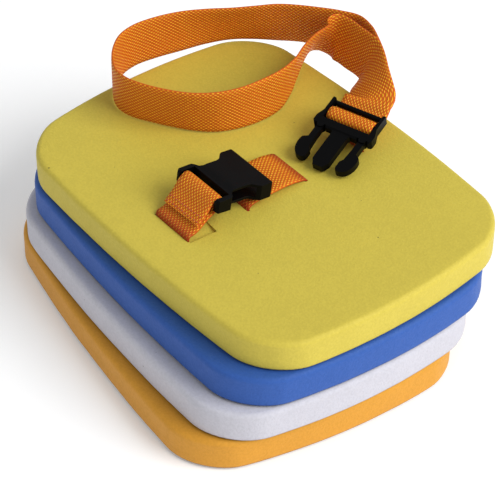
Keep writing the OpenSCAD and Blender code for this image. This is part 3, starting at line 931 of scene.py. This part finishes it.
class FLOAT_OT_boards(bpy.types.Operator):
    """Make the four foam boards, with the slits for the belt"""

    bl_idname = "float.boards"
    bl_label = "Foam boards"
    bl_options = {"REGISTER", "UNDO"}

    def outline(self, bm, sizes):
        """A rounded rectangle whose four sides bulge outwards."""
        half_l = TOP_SIZE.x / 2 - sizes.end_bulge
        half_w = TOP_SIZE.y / 2 - sizes.side_bulge
        bmesh.ops.create_grid(bm, x_segments=1, y_segments=1, size=1.0)
        bmesh.ops.scale(bm, vec=(half_l, half_w, 1.0), verts=bm.verts[:])
        bmesh.ops.bevel(
            bm,
            geom=bm.verts[:],
            offset=sizes.corner_radius,
            offset_type="OFFSET",
            segments=12,
            profile=0.5,
            affect="VERTICES",
            material=-1,
        )
        long_edges = [e for e in bm.edges if e.calc_length() > 0.05]
        bmesh.ops.subdivide_edges(bm, edges=long_edges, cuts=15)
        for v in bm.verts:
            u, w = v.co.x / half_l, v.co.y / half_w
            v.co.x += sizes.end_bulge * u * (1 - w * w)
            v.co.y += sizes.side_bulge * w * (1 - u * u)

    def blank(self, sizes, layer):
        """A board without slits, flat on the ground, with softened edges and uneven sides."""
        thick = TOP_SIZE.z
        bm = bmesh.new()
        self.outline(bm, sizes)
        grown = bmesh.ops.extrude_face_region(bm, geom=bm.faces[:])["geom"]
        raised = [g for g in grown if isinstance(g, bmesh.types.BMVert)]
        bmesh.ops.translate(bm, vec=(0, 0, thick), verts=raised)
        bmesh.ops.recalc_face_normals(bm, faces=bm.faces[:])
        rims = [e for e in bm.edges if abs(e.verts[0].co.z - e.verts[1].co.z) < thick / 2]
        bmesh.ops.bevel(
            bm,
            geom=rims,
            offset=sizes.edge_radius,
            offset_type="OFFSET",
            segments=5,
            profile=0.5,
            affect="EDGES",
            clamp_overlap=True,
            material=-1,
        )
        reach = [TOP_SIZE.x / 2, TOP_SIZE.y / 2]
        for axis, normal in enumerate(((1, 0, 0), (0, 1, 0))):
            count = int(reach[axis] / sizes.grid)
            for k in range(-count, count + 1):
                place = Vector((0, 0, 0))
                place[axis] = (k + 0.5) * sizes.grid
                if abs(place[axis]) < reach[axis] - 0.004:
                    cut_plane(bm, place, normal)
        for share in (0.3, 0.5, 0.7):
            cut_plane(bm, (0, 0, thick * share), (0, 0, 1))
        self.roughen(bm, sizes, layer)
        return bm

    def roughen(self, bm, sizes, layer):
        """The sides wander a little, as foam does when it is cut."""
        bm.normal_update()
        moves = []
        for v in bm.verts:
            side = 1 - abs(v.normal.z)
            seed = v.co + Vector((0, 0, layer * 3.7))
            drift = noise.noise(seed * 38) + 0.5 * noise.noise(seed * 110)
            moves.append(v.normal * (drift - 0.6) * side * sizes.unevenness)
        for v, move in zip(bm.verts, moves):
            v.co += move

    def passage(self):
        """The room that the belt takes through the boards, as a solid to cut away."""
        belt = bpy.context.scene.float_belt
        stops = threaded_stops()
        first, last = stops[0], stops[-1]
        lift = Vector((0, 0, 0.004))
        stops = [(first[0] + lift, first[1])] + stops + [(last[0] + lift, last[1])]
        bm = bmesh.new()
        room = 2 * belt.slit_room
        sweep_webbing(
            bm, webbing_rings(stops, 0.003), belt.width + room, belt.thickness + room, 1
        )
        return cutting_tool(bm, "passage")

    def torn_place(self):
        """The shallow sunken patch beside the first slit, where the foam is cut and torn."""
        slit, long, wide, deep = slit_place(0, 0), 0.0175, 0.0135, 0.0022
        bm = bmesh.new()
        bmesh.ops.create_grid(bm, x_segments=1, y_segments=1, size=0.5)
        bmesh.ops.scale(bm, vec=(wide, long, 1.0), verts=bm.verts[:])
        bmesh.ops.translate(bm, vec=(-wide / 2, long / 2, 0), verts=bm.verts[:])
        for v in bm.verts:
            v.co.z = -deep * (1 + v.co.x / wide) - 0.0002
        grown = bmesh.ops.extrude_face_region(bm, geom=bm.faces[:])["geom"]
        raised = [g for g in grown if isinstance(g, bmesh.types.BMVert)]
        bmesh.ops.translate(bm, vec=(0, 0, 0.005), verts=raised)
        place = Matrix.Translation((slit.x + 0.0165, slit.y, TOP_HIGH.z))
        bmesh.ops.transform(
            bm, matrix=place @ Matrix.Rotation(math.radians(-4), 4, "Z"), verts=bm.verts[:]
        )
        return cutting_tool(bm, "torn")

    def execute(self, context):
        sizes = context.scene.float_boards
        for layer, tone in enumerate(("yellow", "blue", "white", "orange")):
            bm = self.blank(sizes, layer)
            low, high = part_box(BOARD_NODES[layer])
            middle = (low + high) / 2
            turn = Matrix.Rotation(board_turns()[layer], 4, "Z")
            place = Matrix.Translation((middle.x, middle.y, low.z))
            bmesh.ops.transform(bm, matrix=place @ turn, verts=bm.verts[:])
            piece = finish_piece(bm, f"board_{tone}", f"foam_{tone}")
            cut_away(piece, [self.passage()] + ([] if layer else [self.torn_place()]))
            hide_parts(BOARD_NODES[layer])
            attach(piece, "stack")
        return {"FINISHED"}


class FLOAT_OT_belt(bpy.types.Operator):
    """Make the webbing: through the slits, round the socket's bar, the loop and the plug's end"""

    bl_idname = "float.belt"
    bl_label = "Belt"
    bl_options = {"REGISTER", "UNDO"}

    def execute(self, context):
        belt = context.scene.float_belt
        run = webbing_piece(
            "webbing_through_boards",
            webbing_rings(threaded_stops(), belt.ring_step),
            ["belt_threaded_run"],
        )
        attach(run, "stack")
        sewn, _, _ = sewn_stops()
        end = webbing_piece(
            "webbing_socket_end",
            webbing_rings(sewn, belt.ring_step),
            ["belt_socket_end"],
        )
        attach(end, "stack")
        rings = webbing_rings(loop_stops(), belt.ring_step)
        self.loop_pieces(rings)
        return {"FINISHED"}

    def loop_pieces(self, rings):
        """The free loop in three pieces, so that its end can tilt with the plug."""
        to_plug = PLUG_FRAME.inverted()
        local = [to_plug @ ring[1].translation for ring in rings]
        tail = len(rings) - LAST_RINGS
        leave = next(i for i in range(tail, len(rings)) if local[i].y < SEAM_START)
        meet = next(i for i in range(leave, len(rings)) if local[i].y < SEAM_END)
        loop = webbing_piece(
            "webbing_loop", rings[: leave + 1], ["belt_loop"]
        )
        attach(loop, "stack")
        seam = webbing_piece("webbing_seam", rings[leave : meet + 1], [])
        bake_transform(seam)
        wrap = webbing_piece(
            "webbing_plug_end", rings[meet:], ["belt_plug_end"]
        )
        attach(wrap, "plug")


class FLOAT_OT_stitching(bpy.types.Operator):
    """Make the two rows of stitches that hold the sewn end"""

    bl_idname = "float.stitching"
    bl_label = "Stitching"
    bl_options = {"REGISTER", "UNDO"}

    def execute(self, context):
        belt = context.scene.float_belt
        stops, up, out = sewn_stops()
        rings = webbing_rings(stops, 0.0004)
        outwards = Vector((0, out.x, out.y))
        pitch = (belt.width - 0.004) / (belt.stitches - 1)
        bm = bmesh.new()
        for row in (0.002, 0.0052):
            ring = next(r for r in rings if rings[-1][0] - r[0] <= row)[1]
            across = ring.col[0].xyz
            lean = Matrix((across, outwards.cross(across), outwards)).transposed().to_4x4()
            for k in range(belt.stitches):
                at = ring.translation + across * (k - (belt.stitches - 1) / 2) * pitch
                at += outwards * (belt.thickness / 2 + 0.0001)
                made = bmesh.ops.create_uvsphere(bm, u_segments=10, v_segments=6, radius=0.0004)
                stretch = Matrix.Diagonal((2.4, 1.0, 0.8, 1.0))
                skew = Matrix.Rotation(math.radians(8), 4, "Z")
                bmesh.ops.transform(
                    bm,
                    matrix=Matrix.Translation(at) @ lean @ skew @ stretch,
                    verts=made["verts"],
                )
        piece = finish_piece(bm, "hem_stitches", "thread", math.radians(80))
        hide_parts("belt_stitching")
        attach(piece, "stack")
        return {"FINISHED"}


ROOT_RADIUS = 0.0024
ROOT_THICKNESS = 0.00596


def moulded_copy(name, node, rounding, root=None):
    """A CAD part with its triangles merged, its edges rounded and, for a prong, its root disc."""
    bm = bmesh.new()
    bm.from_mesh(frame["nodes"][node].data)
    bmesh.ops.remove_doubles(bm, verts=bm.verts[:], dist=2e-6)
    bmesh.ops.dissolve_limit(
        bm,
        angle_limit=math.radians(0.8),
        use_dissolve_boundaries=False,
        verts=bm.verts[:],
        edges=bm.edges[:],
    )
    bm.normal_update()
    edges = [e for e in bm.edges if len(e.link_faces) == 2 and abs(e.calc_face_angle()) > 0.42]
    bmesh.ops.bevel(
        bm,
        geom=edges,
        offset=rounding,
        offset_type="OFFSET",
        segments=3,
        profile=0.5,
        affect="EDGES",
        clamp_overlap=True,
        material=-1,
    )
    if root:
        bmesh.ops.create_cone(
            bm,
            cap_ends=True,
            segments=40,
            radius1=ROOT_RADIUS,
            radius2=ROOT_RADIUS,
            depth=ROOT_THICKNESS,
            matrix=PLUG_FRAME @ Matrix.Translation(PLUG_FRAME.inverted() @ Vector(root)),
        )
    piece = finish_piece(bm, name, "buckle_black", math.radians(40))
    even = piece.modifiers.new("even shading", "WEIGHTED_NORMAL")
    even.keep_sharp = True
    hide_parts(node)
    return piece


class FLOAT_OT_socket(bpy.types.Operator):
    """Make the buckle's socket half"""

    bl_idname = "float.socket"
    bl_label = "Buckle socket"
    bl_options = {"REGISTER", "UNDO"}

    def execute(self, context):
        rounding = context.scene.float_buckle.rounding
        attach(moulded_copy("buckle_socket_body", "buckle_socket", rounding), "socket")
        return {"FINISHED"}


class FLOAT_OT_plug(bpy.types.Operator):
    """Make the buckle's plug half, with its two springy prongs"""

    bl_idname = "float.plug"
    bl_label = "Buckle plug"
    bl_options = {"REGISTER", "UNDO"}

    def execute(self, context):
        rounding = context.scene.float_buckle.rounding
        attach(moulded_copy("buckle_plug_frame", "buckle_plug", rounding), "plug")
        for side in ("left", "right"):
            root = JOINTS[f"prong_{side}_flex"]["pos_m"]
            prong = moulded_copy(f"buckle_prong_{side}", f"prong_{side}", rounding, root)
            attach(prong, f"prong_{side[0]}")
        return {"FINISHED"}


class FLOAT_OT_stage(bpy.types.Operator):
    """Set the pale floor, the soft lights and the camera"""

    bl_idname = "float.stage"
    bl_label = "Stage"
    bl_options = {"REGISTER", "UNDO"}

    def floor(self):
        """A pale floor, a little below the lowest board."""
        bm = bmesh.new()
        bmesh.ops.create_grid(bm, x_segments=1, y_segments=1, size=6.0)
        bmesh.ops.translate(bm, vec=(0, 0, -0.0002), verts=bm.verts[:])
        mesh = bpy.data.meshes.new("floor")
        bm.to_mesh(mesh)
        bm.free()
        pale, tree, shader, _ = new_material("pale_floor")
        shader.inputs["Base Color"].default_value = (0.93, 0.93, 0.93, 1.0)
        shader.inputs["Roughness"].default_value = 0.9
        shader.inputs["Specular IOR Level"].default_value = 0.1
        shader.inputs["Emission Color"].default_value = (1.0, 1.0, 1.0, 1.0)
        shader.inputs["Emission Strength"].default_value = 0.14
        mesh.materials.append(pale)
        floor = bpy.data.objects.new("floor", mesh)
        bpy.context.scene.collection.objects.link(floor)

    def light(self, name, direction, distance, size, power):
        """A soft square light that faces the float."""
        lamp = bpy.data.lights.new(name, "AREA")
        lamp.shape = "SQUARE"
        lamp.size = size
        lamp.energy = power
        holder = bpy.data.objects.new(name, lamp)
        way = Vector(direction).normalized()
        holder.matrix_world = Matrix.Translation(
            TOP_MIDDLE + way * distance
        ) @ way.to_track_quat("Z", "Y").to_matrix().to_4x4()
        bpy.context.scene.collection.objects.link(holder)

    def camera(self, sizes):
        """The camera, turned on the float and moved a little aside to frame it."""
        a, e = sizes.azimuth, sizes.elevation
        right = Vector((math.cos(a), math.sin(a), 0))
        back = Vector((math.sin(a) * math.cos(e), -math.cos(a) * math.cos(e), math.sin(e)))
        up = back.cross(right)
        place = TOP_MIDDLE + back * sizes.distance - right * 0.0066 - up * 0.0397
        lens = bpy.data.cameras.new("camera")
        lens.lens = sizes.lens
        lens.sensor_width = 36.0
        camera = bpy.data.objects.new("camera", lens)
        look = Matrix((right, up, back)).transposed().to_4x4()
        camera.matrix_world = Matrix.Translation(place) @ look
        bpy.context.scene.collection.objects.link(camera)
        bpy.context.scene.camera = camera

    def execute(self, context):
        sizes = context.scene.float_stage
        self.floor()
        self.camera(sizes)
        self.light("key_light", (0.8, 0.4, 0.7), 5.0, 3.6, sizes.key_power)
        self.light("front_fill", (0.6, -1.0, 0.9), 2.2, 1.6, sizes.key_power * 0.008)
        world = bpy.data.worlds.new("even_sky")
        world.use_nodes = True
        sky = world.node_tree.nodes["Background"]
        sky.inputs["Color"].default_value = (0.96, 0.98, 1.0, 1.0)
        sky.inputs["Strength"].default_value = sizes.sky_strength
        context.scene.world = world
        context.scene.view_settings.view_transform = "Standard"
        return {"FINISHED"}


class FLOAT_PT_panel(bpy.types.Panel):
    """The float's pieces, in the order that they are made"""

    bl_idname = "FLOAT_PT_panel"
    bl_label = "Foam back float"
    bl_space_type = "VIEW_3D"
    bl_region_type = "UI"
    bl_category = "Float"

    def draw(self, context):
        """A button for each step, then the settings."""
        for cls in OPERATORS:
            self.layout.operator(cls.bl_idname)
        for name in SETTINGS:
            box = self.layout.box()
            group = getattr(context.scene, name)
            for label in group.__annotations__:
                box.prop(group, label)


SETTINGS = {
    "float_boards": BoardSizes,
    "float_belt": BeltSizes,
    "float_buckle": BuckleSizes,
    "float_finishes": Finishes,
    "float_stage": StageSizes,
}
OPERATORS = [
    FLOAT_OT_stage,
    FLOAT_OT_boards,
    FLOAT_OT_belt,
    FLOAT_OT_stitching,
    FLOAT_OT_socket,
    FLOAT_OT_plug,
]


def register():
    """Adds the settings, the operators and the panel."""
    for cls in [*SETTINGS.values(), *OPERATORS, FLOAT_PT_panel]:
        bpy.utils.register_class(cls)
    for name, cls in SETTINGS.items():
        setattr(bpy.types.Scene, name, PointerProperty(type=cls))


def unregister():
    """Takes away what register adds."""
    for name in SETTINGS:
        delattr(bpy.types.Scene, name)
    for cls in reversed([*SETTINGS.values(), *OPERATORS, FLOAT_PT_panel]):
        bpy.utils.unregister_class(cls)


def main():
    """Makes the float on its stage."""
    register()
    bpy.ops.float.stage()
    bpy.ops.float.boards()
    bpy.ops.float.belt()
    bpy.ops.float.stitching()
    bpy.ops.float.socket()
    bpy.ops.float.plug()


if __name__ == "__main__":
    main()
